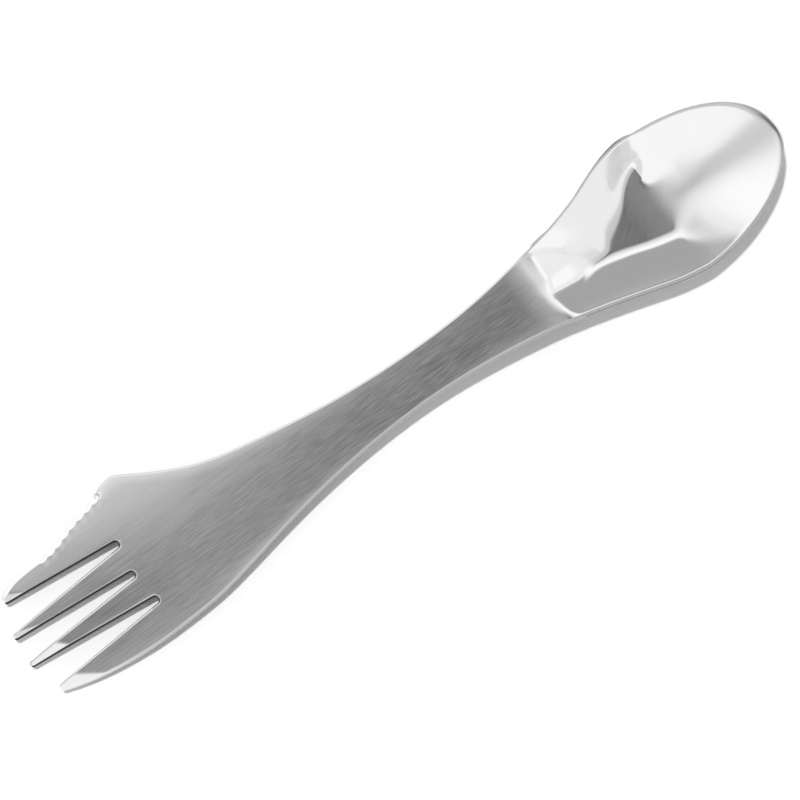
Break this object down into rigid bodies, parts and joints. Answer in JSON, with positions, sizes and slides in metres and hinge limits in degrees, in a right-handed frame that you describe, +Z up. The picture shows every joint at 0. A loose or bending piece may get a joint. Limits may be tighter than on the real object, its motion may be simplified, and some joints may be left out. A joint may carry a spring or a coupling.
{
  "type": "camping spork",
  "caption": "One-piece pressed steel camping utensil with a spoon bowl at one end and a tined fork with a toothed knife edge at the other.",
  "frame": {"origin": "on the table under the middle of the part's box", "axes": "+X along the length towards the spoon bowl, +Y towards the toothed knife edge, +Z up out of the bowl"},
  "size_m": [0.2, 0.0394, 0.008],
  "materials": {
    "steel": "brushed handle and fork, polished bowl"
  },
  "bodies": {
    "root": {"spork": "steel"}
  },
  "joints": []
}
